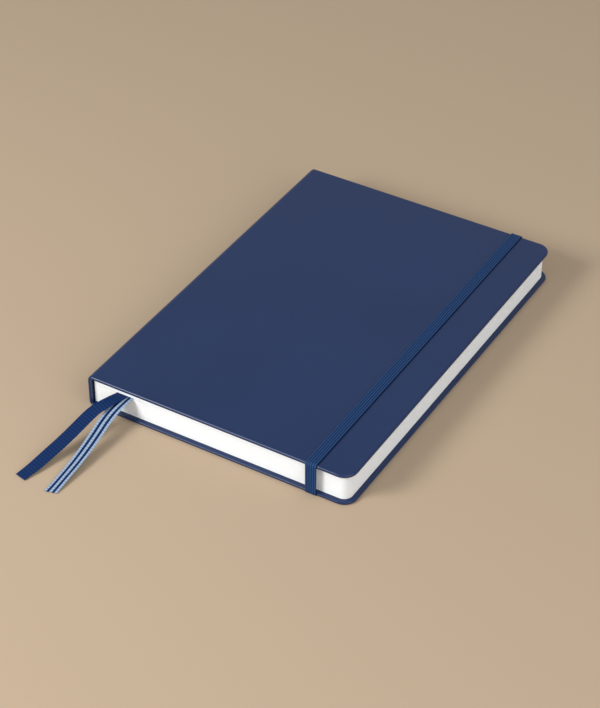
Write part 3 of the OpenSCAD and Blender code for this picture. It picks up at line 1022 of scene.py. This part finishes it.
class LOGBOOK_OT_strap(bpy.types.Operator):
    """Build the elastic strap"""

    bl_idname = "logbook.strap"
    bl_label = "Elastic Strap"

    def execute(self, context):
        sizes, colours = context.scene.logbook_sizes, context.scene.logbook_colours
        section = band_section("strap_section", STRAP_W, STRAP_T, sizes.cords, sizes.cord_depth, per_side=10)
        elastic = bpy.data.materials.get("braided_elastic") or elastic_band(sizes, colours)
        strap = woven_band("elastic_strap_band", strap_line(), section, elastic, step=0.4 * MM)
        joined(strap, "strap", "elastic", "elastic_strap")
        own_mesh(strap)
        return {"FINISHED"}


class LOGBOOK_OT_ribbons(bpy.types.Operator):
    """Build the two marker ribbons"""

    bl_idname = "logbook.ribbons"
    bl_label = "Ribbons"

    def execute(self, context):
        sizes, colours = context.scene.logbook_sizes, context.scene.logbook_colours
        plain, *_ = ribbon_weave("grosgrain_navy", sizes, colours.ribbon_navy_painted_shade, colours.ribbon_navy)
        ribbons = (
            ("ribbon_plain", PLAIN_ROUTE, 0.0, plain, "ribbon_navy"),
            ("ribbon_striped", STRIPED_ROUTE, 0.25, striped_ribbon_weave(sizes, colours), "ribbon_striped"),
        )
        for node, route, slant, material, slot in ribbons:
            points, banks = smooth_route(route, 12)
            section = band_section(node + "_section", sizes.ribbon_w, sizes.ribbon_t, per_side=16)
            ribbon = woven_band(
                node + "_tape", points, section, material, sizes.rib_pitch / 4, banks, sizes.rib_pitch,
                sizes.rib_depth, slant,
            )
            joined(ribbon, "section_05", slot, node)
        return {"FINISHED"}


class LOGBOOK_OT_stage(bpy.types.Operator):
    """Make the floor, the lights and the camera"""

    bl_idname = "logbook.stage"
    bl_label = "Stage"

    def execute(self, context):
        stage, colours = context.scene.logbook_stage, context.scene.logbook_colours
        half = 3.0                        # metres from the middle of the floor to its edges
        material, _, _ = finish("matt_floor", 0.9, colours.floor)
        corners = [(-half, -half, 0), (half, -half, 0), (half, half, 0), (-half, half, 0)]
        mesh = flat_mesh("floor", corners, [(0, 1, 2, 3)])
        mesh.materials.append(material)
        floor = placed("floor", mesh)

        aim = Vector(stage.aim)
        lights = (
            ("key_light", (-0.62, -0.95, 0.72), 0.45, stage.key),
            ("fill_light", (1.15, -0.65, 0.75), 1.4, stage.fill),
        )
        for name, place, size, power in lights:
            light = bpy.data.lights.new(name, "AREA")
            light.size = size
            light.energy = power
            made = placed(name, light)
            made.location = place
            made.rotation_euler = (aim - Vector(place)).to_track_quat("-Z", "Y").to_euler()

        world = bpy.data.worlds.new("studio")
        world.use_nodes = True
        background = world.node_tree.nodes["Background"]
        background.inputs["Color"].default_value = (0.97, 0.985, 1.0, 1)
        background.inputs["Strength"].default_value = stage.sky
        context.scene.world = world
        context.scene.view_settings.view_transform = "Standard"

        camera = bpy.data.cameras.new("camera")
        camera.lens = stage.lens
        flat = math.cos(stage.elevation)
        back = Vector((
            math.sin(stage.azimuth) * flat, -math.cos(stage.azimuth) * flat, math.sin(stage.elevation),
        ))
        made = placed("camera", camera)
        made.location = aim + back * stage.distance
        made.rotation_euler = (-back).to_track_quat("-Z", "Y").to_euler()
        context.scene.camera = made
        return {"FINISHED"}


class LOGBOOK_PT_panel(bpy.types.Panel):
    """Sizes, colours and steps of the logbook"""

    bl_idname = "LOGBOOK_PT_panel"
    bl_label = "Logbook"
    bl_space_type = "VIEW_3D"
    bl_region_type = "UI"
    bl_category = "Logbook"

    def draw(self, context):
        scene = context.scene
        for heading, group in (
            ("Sizes", scene.logbook_sizes), ("Colours", scene.logbook_colours), ("Stage", scene.logbook_stage)
        ):
            box = self.layout.box()
            box.label(text=heading)
            for name in group.__annotations__:
                box.prop(group, name)
        for operator in OPERATORS:
            self.layout.operator(operator.bl_idname)


OPERATORS = (
    LOGBOOK_OT_stage,
    LOGBOOK_OT_ribbons,
    LOGBOOK_OT_case,
    LOGBOOK_OT_papers,
    LOGBOOK_OT_sections,
    LOGBOOK_OT_sewing,
    LOGBOOK_OT_strap,
)
GROUPS = {"logbook_sizes": LogbookSizes, "logbook_colours": LogbookColours, "logbook_stage": LogbookStage}


def register():
    for made in (*GROUPS.values(), *OPERATORS, LOGBOOK_PT_panel):
        bpy.utils.register_class(made)
    for name, group in GROUPS.items():
        setattr(bpy.types.Scene, name, bpy.props.PointerProperty(type=group))


def unregister():
    for name in GROUPS:
        delattr(bpy.types.Scene, name)
    for made in reversed((*GROUPS.values(), *OPERATORS, LOGBOOK_PT_panel)):
        bpy.utils.unregister_class(made)


def main():
    register()
    bpy.ops.logbook.stage()
    bpy.ops.logbook.ribbons()
    bpy.ops.logbook.case()
    bpy.ops.logbook.papers()
    bpy.ops.logbook.sections()
    bpy.ops.logbook.sewing()
    bpy.ops.logbook.strap()


if __name__ == "__main__":
    main()
